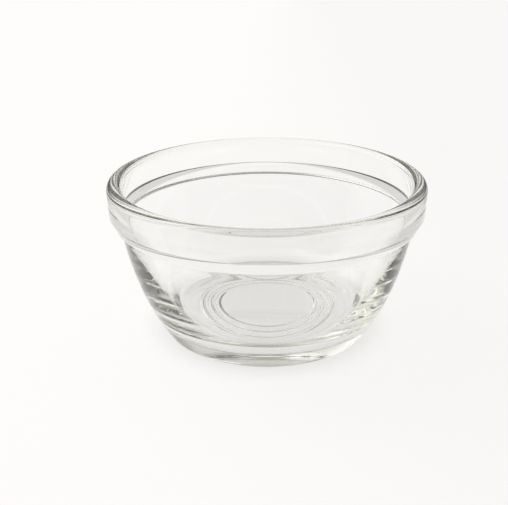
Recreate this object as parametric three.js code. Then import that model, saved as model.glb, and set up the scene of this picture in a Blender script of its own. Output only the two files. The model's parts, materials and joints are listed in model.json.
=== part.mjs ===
import * as THREE from "three";

// Small round bowl of thick pressed glass, in millimetres.
// The bowl stands on its foot at z = 0, and the Z axis is its axis of symmetry.

// Overall sizes
const rimDiameter = 120;
const bowlHeight = 60;

// Rounded lip on top of the rim band: a power of 2 makes it half an ellipse, and a higher one is squarer
const lipWidth = 5.5;
const lipRise = 2.7;
const lipPower = 2.2;

// Rim band: an upright face, a narrow ledge under it, then a face that slopes in to the band's lower edge
const bandFaceHeight = 8.6;
const bandFaceDraft = 0.3;
const ledgeWidth = 0.12;
const bandSlopeHeight = 4;
const bandSlopeInset = 1.9;

// Shelf under the band, rounded into the wall
const shelfWidth = 2.2;
const shelfFillet = 1.8;

// Wall outside, from the shelf down to the foot
const wallHandleShares = { upperRun: 0.15, upperDrop: 0.31, lowerRun: 0.42, lowerDrop: 0.68 };

// Foot
const footDiameter = 81;
const footCornerRadius = 2.2;
const footCornerAngle = THREE.MathUtils.degToRad(36);

// Underside: a slightly raised centre with rounded grooves round it
const centreRise = 0.4;
const grooveCount = 3;
const outerGrooveDiameter = 54.4;
const groovePitch = 3.4;
const grooveWidthShare = 0.94;
const grooveDepth = 1.1;

// Hollow: the knee is where its side turns in to the floor
const uprightDepth = 1;
const kneeHeight = 14;
const kneeRunShare = 0.107;
const floorThickness = 6.3;
const floorDiameter = 57.4;
const hollowHandleShares = { upperDrop: 0.28, lowerRun: 0.68, lowerDrop: 0.35 };

// Smoothness
const turnSteps = 72;
const wallSteps = 10;
const hollowSteps = 12;
const kneeSteps = 6;
const lipSteps = 10;
const filletSteps = 4;
const grooveSteps = 3;

// Heights and radii that follow from the sizes above
const rimRadius = rimDiameter / 2;
const lipBaseHeight = bowlHeight - lipRise;
const ledgeHeight = lipBaseHeight - bandFaceHeight;
const ledgeRadius = rimRadius - bandFaceDraft;
const shelfHeight = ledgeHeight - bandSlopeHeight;
const bandEdgeRadius = ledgeRadius - bandSlopeInset;
const shelfRootRadius = bandEdgeRadius - shelfWidth;
const footRadius = footDiameter / 2;
const footArcRadius = footRadius - footCornerRadius;
const outerGrooveRadius = outerGrooveDiameter / 2;
const grooveReach = (groovePitch * grooveWidthShare) / 2;
const hollowRadius = rimRadius - lipWidth;
const kneeRadius = footRadius + (hollowRadius - footRadius) * kneeRunShare;
const floorRadius = floorDiameter / 2;

// Adds the points of a curve, without its first point when that point is there already
function addCurve(points, curve, steps) {
  for (const point of curve.getPoints(steps)) {
    const last = points[points.length - 1];
    if (!last || last.distanceTo(point) > Number.EPSILON) {
      points.push(point);
    }
  }
}

// S-shaped step from one radius and height to another, level at both ends
function roundedStep(startRadius, startHeight, endRadius, endHeight) {
  const middleRadius = (startRadius + endRadius) / 2;
  return new THREE.CubicBezierCurve(
    new THREE.Vector2(startRadius, startHeight),
    new THREE.Vector2(middleRadius, startHeight),
    new THREE.Vector2(middleRadius, endHeight),
    new THREE.Vector2(endRadius, endHeight)
  );
}

// Underside: the level centre, then the grooves from the inner one to the outer one, which ends on the foot ring
function addUnderside(points) {
  const grooveTop = centreRise + grooveDepth;
  points.push(new THREE.Vector2(0, centreRise));
  for (let inward = grooveCount - 1; inward >= 0; inward -= 1) {
    const middle = outerGrooveRadius - groovePitch * inward;
    const levelAfter = inward === 0 ? 0 : centreRise;
    addCurve(points, roundedStep(middle - grooveReach, centreRise, middle, grooveTop), grooveSteps);
    addCurve(points, roundedStep(middle, grooveTop, middle + grooveReach, levelAfter), grooveSteps);
  }
}

// Foot corner and the wall's outside, as one smooth line up to the shelf under the band
function addWall(points) {
  const cornerStart = -Math.PI / 2;
  const cornerEnd = -footCornerAngle;
  const corner = new THREE.EllipseCurve(
    footArcRadius,
    footCornerRadius,
    footCornerRadius,
    footCornerRadius,
    cornerStart,
    cornerEnd
  );
  addCurve(points, corner, filletSteps);
  const wallFoot = corner.getPoint(1);
  const wallTop = new THREE.Vector2(shelfRootRadius, shelfHeight - shelfFillet);
  const run = wallTop.x - wallFoot.x;
  const rise = wallTop.y - wallFoot.y;
  const lowerHandle = new THREE.Vector2(
    wallTop.x - run * wallHandleShares.lowerRun,
    wallTop.y - rise * wallHandleShares.lowerDrop
  );
  const upperHandle = new THREE.Vector2(
    wallTop.x - run * wallHandleShares.upperRun,
    wallTop.y - rise * wallHandleShares.upperDrop
  );
  addCurve(points, new THREE.CubicBezierCurve(wallFoot, lowerHandle, upperHandle, wallTop), wallSteps);
}

// Fillet and shelf under the band, its sloping face and the narrow ledge above that
function addBand(points) {
  const fillet = new THREE.QuadraticBezierCurve(
    new THREE.Vector2(shelfRootRadius, shelfHeight - shelfFillet),
    new THREE.Vector2(shelfRootRadius, shelfHeight),
    new THREE.Vector2(shelfRootRadius + shelfFillet, shelfHeight)
  );
  addCurve(points, fillet, filletSteps);
  points.push(new THREE.Vector2(bandEdgeRadius, shelfHeight));
  points.push(new THREE.Vector2(ledgeRadius - ledgeWidth, ledgeHeight - ledgeWidth));
  points.push(new THREE.Vector2(ledgeRadius, ledgeHeight));
}

// Lip, as half a squared ellipse from the band's face over to the hollow
function addLip(points) {
  const halfWidth = lipWidth / 2;
  const power = 2 / lipPower;
  for (let step = 0; step <= lipSteps; step += 1) {
    const turn = (Math.PI * step) / lipSteps;
    const across = Math.sign(Math.cos(turn)) * Math.abs(Math.cos(turn)) ** power;
    const up = Math.abs(Math.sin(turn)) ** power;
    points.push(new THREE.Vector2(rimRadius - halfWidth + halfWidth * across, lipBaseHeight + lipRise * up));
  }
}

// Hollow: upright below the lip, then a curve down to the knee, and from there a tighter one to the flat floor
function addHollow(points) {
  const sideTop = new THREE.Vector2(hollowRadius, lipBaseHeight - uprightDepth);
  const knee = new THREE.Vector2(kneeRadius, kneeHeight);
  const run = sideTop.x - knee.x;
  const drop = sideTop.y - knee.y;
  const upperHandle = new THREE.Vector2(sideTop.x, sideTop.y - drop * hollowHandleShares.upperDrop);
  const lowerHandle = new THREE.Vector2(
    knee.x + run * hollowHandleShares.lowerRun,
    knee.y + drop * hollowHandleShares.lowerDrop
  );
  addCurve(points, new THREE.CubicBezierCurve(sideTop, upperHandle, lowerHandle, knee), hollowSteps);
  const lean = (lowerHandle.x - knee.x) / (lowerHandle.y - knee.y);
  const turnIn = new THREE.QuadraticBezierCurve(
    knee,
    new THREE.Vector2(knee.x - (knee.y - floorThickness) * lean, floorThickness),
    new THREE.Vector2(floorRadius, floorThickness)
  );
  addCurve(points, turnIn, kneeSteps);
  points.push(new THREE.Vector2(0, floorThickness));
}

// Section from the middle of the underside round to the middle of the floor
function bowlSection() {
  const points = [];
  addUnderside(points);
  addWall(points);
  addBand(points);
  addLip(points);
  addHollow(points);
  return points;
}

const bowlGeometry = new THREE.LatheGeometry(bowlSection(), turnSteps);
bowlGeometry.rotateX(Math.PI / 2);

const glass = new THREE.MeshStandardMaterial({ color: 0xe3e9e0, roughness: 0.03, metalness: 0 });
glass.transparent = true;
glass.opacity = 0.35;

const bowl = new THREE.Mesh(bowlGeometry, glass);
bowl.name = "bowl";

const model = new THREE.Group();
model.add(bowl);

export default model;
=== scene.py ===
import bpy
import json
import math
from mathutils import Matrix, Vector

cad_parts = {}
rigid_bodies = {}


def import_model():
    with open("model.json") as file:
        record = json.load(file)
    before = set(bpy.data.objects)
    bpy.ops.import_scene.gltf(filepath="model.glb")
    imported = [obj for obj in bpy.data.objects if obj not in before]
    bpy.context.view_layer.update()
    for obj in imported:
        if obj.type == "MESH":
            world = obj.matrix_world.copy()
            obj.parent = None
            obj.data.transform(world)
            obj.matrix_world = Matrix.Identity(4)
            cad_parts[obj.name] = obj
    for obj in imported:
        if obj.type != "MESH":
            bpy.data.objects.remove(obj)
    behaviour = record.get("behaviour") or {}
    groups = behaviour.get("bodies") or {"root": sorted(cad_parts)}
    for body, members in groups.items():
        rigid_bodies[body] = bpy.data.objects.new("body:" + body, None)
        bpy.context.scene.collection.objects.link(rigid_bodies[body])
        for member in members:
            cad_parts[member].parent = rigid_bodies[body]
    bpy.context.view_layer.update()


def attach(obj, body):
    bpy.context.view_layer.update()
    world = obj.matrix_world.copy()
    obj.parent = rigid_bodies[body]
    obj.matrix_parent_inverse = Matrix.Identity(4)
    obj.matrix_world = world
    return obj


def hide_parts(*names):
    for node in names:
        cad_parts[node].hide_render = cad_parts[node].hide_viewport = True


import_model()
print("frame loaded")

mm = 0.001  # the scene is in metres, and the bowl's sizes are in millimetres
samePoint = 1e-6  # millimetres: points of the section that lie closer are one point
weldDistance = 1e-7  # metres: points of the mesh that lie closer are welded


# Small tools for meshes

def clearSelection():
    for item in bpy.context.scene.objects:
        item.select_set(False)


def pickEdges(mesh, wanted):  # wanted says which edges, by the places of their two ends
    for edge in mesh.edges:
        ends = [mesh.vertices[index].co for index in edge.vertices]
        edge.select = wanted(*ends)


# Section of the bowl, from the middle of its underside round to the middle of its floor

bowl = {
    "rimDiameter": 120.0,
    "height": 60.0,
    "lipWidth": 5.5,
    "lipRise": 2.7,
    "lipPower": 2.2,  # 2 would make the lip half an ellipse, and more is squarer
    "bandFaceHeight": 8.6,
    "bandFaceDraft": 0.3,
    "ledgeWidth": 0.12,
    "bandSlopeHeight": 4.0,
    "bandSlopeInset": 1.9,
    "shelfWidth": 2.2,
    "shelfFillet": 1.8,
    "wallUpperHandle": (0.15, 0.31),  # shares of the wall's run and rise, from its top
    "wallLowerHandle": (0.42, 0.68),
    "footDiameter": 81.0,
    "footCornerRadius": 2.2,
    "footCornerAngle": 36.0,
    "centreRise": 0.4,
    "grooveCount": 3,
    "outerGrooveDiameter": 54.4,
    "groovePitch": 3.4,
    "grooveWidthShare": 0.94,
    "grooveDepth": 1.1,
    "uprightDepth": 1.0,
    "kneeHeight": 14.0,  # the knee is where the hollow's side turns in to the floor
    "kneeRun": 0.107,  # share of the way from the foot to the top of the hollow
    "floorThickness": 6.3,
    "floorDiameter": 57.4,
    "hollowUpperDrop": 0.28,  # shares of the run and drop from the top of the hollow to the knee
    "hollowLowerHandle": (0.68, 0.35),
    "turnSteps": 240,
    "grooveSteps": 8,  # for each side of a groove
    "cornerSteps": 8,
    "wallSteps": 30,
    "lipSteps": 32,
    "hollowSteps": 36,
    "kneeSteps": 20,
    "crispAngle": 30.0,  # edges that turn by more stay crisp
}


def curveThrough(start, startHandle, endHandle, end, steps):
    points = []
    for index in range(steps + 1):
        t = index / steps
        u = 1 - t
        weights = (u ** 3, 3 * u * u * t, 3 * u * t * t, t ** 3)
        corners = (start, startHandle, endHandle, end)
        points.append(tuple(sum(w * c[axis] for w, c in zip(weights, corners)) for axis in (0, 1)))
    return points


def arcPoints(centre, radius, startAngle, endAngle, steps):
    points = []
    for index in range(steps + 1):
        angle = math.radians(startAngle + (endAngle - startAngle) * index / steps)
        points.append((centre[0] + radius * math.cos(angle), centre[1] + radius * math.sin(angle)))
    return points


def roundedStep(start, end, steps):  # level at both ends
    middle = (start[0] + end[0]) / 2
    return curveThrough(start, (middle, start[1]), (middle, end[1]), end, steps)


def roundCorner(start, corner, end, steps):  # heads for the corner from both ends
    startHandle = tuple((a + 2 * b) / 3 for a, b in zip(start, corner))
    endHandle = tuple((a + 2 * b) / 3 for a, b in zip(end, corner))
    return curveThrough(start, startHandle, endHandle, end, steps)


def lipPoints(middle, base, half, rise, power, steps):
    points = []
    for index in range(steps + 1):
        turn = math.pi * index / steps
        across = math.copysign(abs(math.cos(turn)) ** (2 / power), math.cos(turn))
        points.append((middle + half * across, base + rise * abs(math.sin(turn)) ** (2 / power)))
    return points


def bowlSection(size):
    rimRadius = size["rimDiameter"] / 2
    lipBase = size["height"] - size["lipRise"]
    ledge = (rimRadius - size["bandFaceDraft"], lipBase - size["bandFaceHeight"])
    bandEdge = (ledge[0] - size["bandSlopeInset"], ledge[1] - size["bandSlopeHeight"])
    shelfRoot = bandEdge[0] - size["shelfWidth"]
    footArc = size["footDiameter"] / 2 - size["footCornerRadius"]

    # underside, with its round grooves
    points = []
    level = size["centreRise"]
    top = level + size["grooveDepth"]
    reach = size["groovePitch"] * size["grooveWidthShare"] / 2
    for inward in range(size["grooveCount"] - 1, -1, -1):
        middle = size["outerGrooveDiameter"] / 2 - size["groovePitch"] * inward
        levelAfter = level if inward else 0.0
        points += roundedStep((middle - reach, level), (middle, top), size["grooveSteps"])
        points += roundedStep((middle, top), (middle + reach, levelAfter), size["grooveSteps"])

    # foot and wall
    corner = size["footCornerRadius"]
    points += arcPoints((footArc, corner), corner, -90, -size["footCornerAngle"], size["cornerSteps"])
    wallFoot = points[-1]
    wallTop = (shelfRoot, bandEdge[1] - size["shelfFillet"])
    run = wallTop[0] - wallFoot[0]
    rise = wallTop[1] - wallFoot[1]
    lower = size["wallLowerHandle"]
    upper = size["wallUpperHandle"]
    lowerHandle = (wallTop[0] - run * lower[0], wallTop[1] - rise * lower[1])
    upperHandle = (wallTop[0] - run * upper[0], wallTop[1] - rise * upper[1])
    points += curveThrough(wallFoot, lowerHandle, upperHandle, wallTop, size["wallSteps"])

    # shelf, sloping face, ledge and upright face of the band
    shelfStart = (shelfRoot + size["shelfFillet"], bandEdge[1])
    points += roundCorner(wallTop, (shelfRoot, bandEdge[1]), shelfStart, size["cornerSteps"])
    points.append(bandEdge)
    points.append((ledge[0] - size["ledgeWidth"], ledge[1] - size["ledgeWidth"]))
    points.append(ledge)

    # lip
    half = size["lipWidth"] / 2
    middle = rimRadius - half
    points += lipPoints(middle, lipBase, half, size["lipRise"], size["lipPower"], size["lipSteps"])

    # hollow
    sideTop = (rimRadius - size["lipWidth"], lipBase - size["uprightDepth"])
    footRadius = size["footDiameter"] / 2
    knee = (footRadius + (sideTop[0] - footRadius) * size["kneeRun"], size["kneeHeight"])
    run = sideTop[0] - knee[0]
    drop = sideTop[1] - knee[1]
    upperHandle = (sideTop[0], sideTop[1] - drop * size["hollowUpperDrop"])
    lower = size["hollowLowerHandle"]
    lowerHandle = (knee[0] + run * lower[0], knee[1] + drop * lower[1])
    points += curveThrough(sideTop, upperHandle, lowerHandle, knee, size["hollowSteps"])
    lean = (lowerHandle[0] - knee[0]) / (lowerHandle[1] - knee[1])
    floor = size["floorThickness"]
    turnPoint = (knee[0] - (knee[1] - floor) * lean, floor)
    points += roundCorner(knee, turnPoint, (size["floorDiameter"] / 2, floor), size["kneeSteps"])
    return [point for index, point in enumerate(points) if math.dist(point, points[index - 1]) > samePoint]


def turnBowl(size):
    section = bowlSection(size)
    radius, height = section[0]
    clearSelection()
    bpy.ops.mesh.primitive_circle_add(
        vertices=size["turnSteps"], radius=radius * mm, fill_type="TRIFAN", location=(0, 0, height * mm)
    )
    piece = bpy.context.object
    bpy.ops.object.transform_apply(location=True)
    rimShare = 0.99  # an edge with both ends past this share of the radius is on the circle, not a spoke
    rim = radius * mm * rimShare
    bpy.ops.object.mode_set(mode="EDIT")
    bpy.ops.mesh.select_mode(type="EDGE")
    bpy.ops.mesh.select_all(action="DESELECT")
    bpy.ops.object.mode_set(mode="OBJECT")
    pickEdges(piece.data, lambda a, b: a.xy.length > rim and b.xy.length > rim)
    bpy.ops.object.mode_set(mode="EDIT")
    # draw the edge out below the bowl, up the wall, over the lip and down inside
    for nextRadius, nextHeight in section[1:]:
        bpy.ops.mesh.extrude_edges_move()
        pull = nextRadius / radius
        level = (0, 0, height * mm)
        bpy.ops.transform.resize(value=(pull, pull, 1), center_override=level)
        bpy.ops.transform.translate(value=(0, 0, (nextHeight - height) * mm))
        radius = nextRadius
        height = nextHeight
    bpy.ops.mesh.extrude_edges_move()
    bpy.ops.mesh.merge(type="CENTER")
    bpy.ops.mesh.select_all(action="SELECT")
    bpy.ops.mesh.remove_doubles(threshold=weldDistance)
    bpy.ops.mesh.normals_make_consistent(inside=False)
    bpy.ops.object.mode_set(mode="OBJECT")
    bpy.ops.object.shade_smooth_by_angle(angle=math.radians(size["crispAngle"]))
    return piece


glassBowl = turnBowl(bowl)
glassBowl.name = "glassBowl"
glassBowl.data.name = "glassBowl"
print("bowl turned:", len(glassBowl.data.polygons), "faces")


# Clear pressed glass

glass = {
    "ior": 1.5,
    "absorbColour": (0.65, 0.65, 0.4),
    "absorbDensity": 4.0,
    "rippleScale": 60.0,
    "rippleDetail": 1.0,
    "rippleHeight": 0.00002,  # metres
    "roughness": 0.0,
}


def addNode(tree, kind, **values):
    node = tree.nodes.new(kind)
    for name, value in values.items():
        setattr(node, name, value)
    return node


def pressedRipple(detail):
    group = bpy.data.node_groups.new("pressedRipple", "ShaderNodeTree")
    group.interface.new_socket("Scale", in_out="INPUT", socket_type="NodeSocketFloat")
    group.interface.new_socket("Height", in_out="OUTPUT", socket_type="NodeSocketFloat")
    inside = addNode(group, "NodeGroupInput")
    outside = addNode(group, "NodeGroupOutput")
    place = addNode(group, "ShaderNodeTexCoord")
    noise = addNode(group, "ShaderNodeTexNoise")
    noise.inputs["Detail"].default_value = detail
    group.links.new(place.outputs["Object"], noise.inputs["Vector"])
    group.links.new(inside.outputs["Scale"], noise.inputs["Scale"])
    group.links.new(noise.outputs["Fac"], outside.inputs["Height"])
    return group


def glassMaterial(values):
    material = bpy.data.materials.new("pressedGlass")
    material.use_nodes = True
    tree = material.node_tree
    shader = tree.nodes["Principled BSDF"]
    output = tree.nodes["Material Output"]
    shader.inputs["Base Color"].default_value = (1, 1, 1, 1)
    shader.inputs["Roughness"].default_value = values["roughness"]
    shader.inputs["IOR"].default_value = values["ior"]
    shader.inputs["Transmission Weight"].default_value = 1
    ripple = addNode(tree, "ShaderNodeGroup", node_tree=pressedRipple(values["rippleDetail"]))
    ripple.inputs["Scale"].default_value = values["rippleScale"]
    bump = addNode(tree, "ShaderNodeBump")
    bump.inputs["Distance"].default_value = values["rippleHeight"]
    tree.links.new(ripple.outputs["Height"], bump.inputs["Height"])
    tree.links.new(bump.outputs["Normal"], shader.inputs["Normal"])
    tint = addNode(tree, "ShaderNodeVolumeAbsorption")
    tint.inputs["Color"].default_value = (*values["absorbColour"], 1)
    tint.inputs["Density"].default_value = values["absorbDensity"]
    tree.links.new(tint.outputs["Volume"], output.inputs["Volume"])
    return material


glassBowl.data.materials.append(glassMaterial(glass))
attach(glassBowl, "root")
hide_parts("bowl")
print("glass laid on")


# Studio: a pale floor, a white background, and a grey sky with bright and dark boxes
# lengths are in metres and angles in degrees

studio = {
    "floorSize": 20.0,
    "floorGap": 0.00005,
    "floorColour": (0.95, 0.941, 0.926),
    "floorRoughness": 0.6,
    "floorShine": 0.2,
    "glowShare": 0.8,
    "glowColour": (1.0, 0.989, 0.973),
    "glowStrength": 1.12,
    # painted contact shadow: how strongly the floor glows under the bowl
    "glowInPaintedShadow": 0.88,
    "paintedShadowReach": (0.030, 0.052),  # painted shadow: where the glow under the bowl begins and ends to rise, from the middle
    "rightPaintedShade": (-0.05, 0.12, 0.955),  # painted shade towards the right: from and to along X, and the share of the glow that is left
    "frontShade": (0.11, 0.15, 0.3),  # the same towards the camera, only for what the glass sees
    "sideShade": (0.11, 0.15, 0.7),  # the same to the left and the right
    "background": 1.0,
    "skyGrey": 0.72,
    "sideSoftness": 25.0,
    "heightSoftness": 14.0,
    "bounces": 32,
}
# A box has its middle and half width round the sky, anticlockwise from the camera's side as seen
# from above, and its lower and upper height over the horizon. A later box covers an earlier one.
skyBoxes = [
    {"middle": 262, "half": 50, "height": (18, 69), "strength": 1.41},
    {"middle": 61, "half": 78, "height": (-10, 59), "strength": 0.08},
    {"middle": 335, "half": 67, "height": (0, 45), "strength": 0.01},
    {"middle": 0, "half": 200, "height": (69, 110), "strength": 0.14},
    {"middle": 180, "half": 40, "height": (-10, 9), "strength": 0.1},
]


def mathNode(tree, operation, *values, clamp=False):
    node = addNode(tree, "ShaderNodeMath", operation=operation, use_clamp=clamp)
    for socket, value in zip(node.inputs, values):
        if isinstance(value, (int, float)):
            socket.default_value = value
        else:
            tree.links.new(value, socket)
    return node.outputs[0]


def smoothRise(tree, value, low, high, start=0.0, end=1.0):
    node = addNode(tree, "ShaderNodeMapRange", interpolation_type="SMOOTHSTEP")
    node.inputs["From Min"].default_value = low
    node.inputs["From Max"].default_value = high
    node.inputs["To Min"].default_value = start
    node.inputs["To Max"].default_value = end
    tree.links.new(value, node.inputs["Value"])
    return node.outputs[0]


def fadeFrom(tree, value, fade):
    low, high, share = fade
    return smoothRise(tree, value, low, high, 1.0, share)


def viewRays(tree):  # 1 for what the eye sees, directly or in the glass
    path = addNode(tree, "ShaderNodeLightPath").outputs
    direct = mathNode(tree, "ADD", path["Is Camera Ray"], path["Is Glossy Ray"], clamp=True)
    return mathNode(tree, "ADD", direct, path["Is Transmission Ray"], clamp=True)


def layFloor(values):
    clearSelection()
    bpy.ops.mesh.primitive_plane_add(size=values["floorSize"], location=(0, 0, -values["floorGap"]))
    floor = bpy.context.object
    floor.name = "floor"
    material = bpy.data.materials.new("paleFloor")
    material.use_nodes = True
    tree = material.node_tree
    shader = tree.nodes["Principled BSDF"]
    shader.inputs["Base Color"].default_value = (*values["floorColour"], 1)
    shader.inputs["Roughness"].default_value = values["floorRoughness"]
    shader.inputs["Specular IOR Level"].default_value = values["floorShine"]
    place = addNode(tree, "ShaderNodeTexCoord")
    reach = addNode(tree, "ShaderNodeVectorMath", operation="LENGTH")
    tree.links.new(place.outputs["Object"], reach.inputs[0])
    split = addNode(tree, "ShaderNodeSeparateXYZ")
    tree.links.new(place.outputs["Object"], split.inputs[0])
    across = split.outputs["X"]
    # painted shadow under the bowl, put into the glow's strength
    near, far = values["paintedShadowReach"]
    paintedShadowGlow = values["glowInPaintedShadow"]
    strength = smoothRise(tree, reach.outputs["Value"], near, far, paintedShadowGlow, values["glowStrength"])
    # painted shade: the glow dims towards the right
    strength = mathNode(tree, "MULTIPLY", strength, fadeFrom(tree, across, values["rightPaintedShade"]))
    forward = mathNode(tree, "MULTIPLY", split.outputs["Y"], -1.0)
    shade = fadeFrom(tree, forward, values["frontShade"])
    sideways = fadeFrom(tree, mathNode(tree, "ABSOLUTE", across), values["sideShade"])
    shade = mathNode(tree, "MULTIPLY", shade, sideways)
    path = addNode(tree, "ShaderNodeLightPath")
    shade = mathNode(tree, "MAXIMUM", shade, path.outputs["Is Camera Ray"])
    glow = addNode(tree, "ShaderNodeEmission")
    glow.inputs["Color"].default_value = (*values["glowColour"], 1)
    tree.links.new(mathNode(tree, "MULTIPLY", strength, shade), glow.inputs["Strength"])
    share = mathNode(tree, "MULTIPLY", viewRays(tree), values["glowShare"])
    mix = addNode(tree, "ShaderNodeMixShader")
    tree.links.new(share, mix.inputs[0])
    tree.links.new(shader.outputs["BSDF"], mix.inputs[1])
    tree.links.new(glow.outputs["Emission"], mix.inputs[2])
    tree.links.new(mix.outputs["Shader"], tree.nodes["Material Output"].inputs["Surface"])
    floor.data.materials.append(material)


def lightSky(values, boxes):
    world = bpy.data.worlds.new("studio")
    bpy.context.scene.world = world
    world.use_nodes = True
    tree = world.node_tree
    place = addNode(tree, "ShaderNodeTexCoord")
    split = addNode(tree, "ShaderNodeSeparateXYZ")
    tree.links.new(place.outputs["Generated"], split.inputs[0])
    height = mathNode(tree, "DEGREES", mathNode(tree, "ARCSINE", split.outputs["Z"]))
    level = addNode(tree, "ShaderNodeVectorMath", operation="MULTIPLY")
    level.inputs[1].default_value = (1, 1, 0)
    tree.links.new(place.outputs["Generated"], level.inputs[0])
    around = addNode(tree, "ShaderNodeVectorMath", operation="NORMALIZE")
    tree.links.new(level.outputs[0], around.inputs[0])
    light = values["skyGrey"]
    for box in boxes:
        angle = math.radians(box["middle"])
        towards = addNode(tree, "ShaderNodeVectorMath", operation="DOT_PRODUCT")
        towards.inputs[1].default_value = (math.sin(angle), -math.cos(angle), 0)
        tree.links.new(around.outputs[0], towards.inputs[0])
        away = mathNode(tree, "DEGREES", mathNode(tree, "ARCCOSINE", towards.outputs["Value"]))
        soft = values["sideSoftness"] / 2
        side = smoothRise(tree, away, box["half"] - soft, box["half"] + soft, 1.0, 0.0)
        soft = values["heightSoftness"] / 2
        low, high = box["height"]
        above = smoothRise(tree, height, low - soft, low + soft)
        below = smoothRise(tree, height, high - soft, high + soft, 1.0, 0.0)
        mask = mathNode(tree, "MULTIPLY", side, mathNode(tree, "MULTIPLY", above, below))
        mix = addNode(tree, "ShaderNodeMix", data_type="FLOAT")
        tree.links.new(mask, mix.inputs["Factor"])
        if isinstance(light, float):
            mix.inputs["A"].default_value = light
        else:
            tree.links.new(light, mix.inputs["A"])
        mix.inputs["B"].default_value = box["strength"]
        light = mix.outputs["Result"]
    path = addNode(tree, "ShaderNodeLightPath")
    white = addNode(tree, "ShaderNodeMix", data_type="FLOAT")
    white.inputs["B"].default_value = values["background"]
    tree.links.new(path.outputs["Is Camera Ray"], white.inputs["Factor"])
    tree.links.new(light, white.inputs["A"])
    tree.links.new(white.outputs["Result"], tree.nodes["Background"].inputs["Color"])


def allowLongPaths(bounces):  # thick glass passes light round its wall many times
    cycles = bpy.context.scene.cycles
    cycles.max_bounces = bounces
    cycles.glossy_bounces = bounces
    cycles.transmission_bounces = bounces


layFloor(studio)
lightSky(studio, skyBoxes)
allowLongPaths(studio["bounces"])
print("studio lit")


# Camera at the photograph's angle

cameraPlace = {
    "elevation": 21.98,  # degrees
    "distance": 340.0,  # millimetres, like the height
    "aimHeight": 28.91,
    "focalPixels": 871.0,
    "axisPixel": 267.0,  # column of the frame that the bowl's axis is on
    "frameWidth": 508.0,  # pixels
    "sensorWidth": 36.0,
    "clipStart": 10.0,
}


def placeCamera(values):
    lens = values["focalPixels"] / values["frameWidth"] * values["sensorWidth"]
    tilt = math.radians(values["elevation"])
    view = Vector((0, math.cos(tilt), -math.sin(tilt)))
    aim = Vector((0, 0, values["aimHeight"] * mm))
    bpy.ops.object.camera_add(location=aim - view * values["distance"] * mm)
    camera = bpy.context.object
    camera.rotation_euler = view.to_track_quat("-Z", "Y").to_euler()
    camera.data.sensor_width = values["sensorWidth"]
    camera.data.lens = lens
    camera.data.clip_start = values["clipStart"] * mm
    camera.data.shift_x = (values["frameWidth"] / 2 - values["axisPixel"]) / values["frameWidth"]
    bpy.context.scene.camera = camera


placeCamera(cameraPlace)
bpy.context.scene.view_settings.view_transform = "Standard"
print("camera placed")
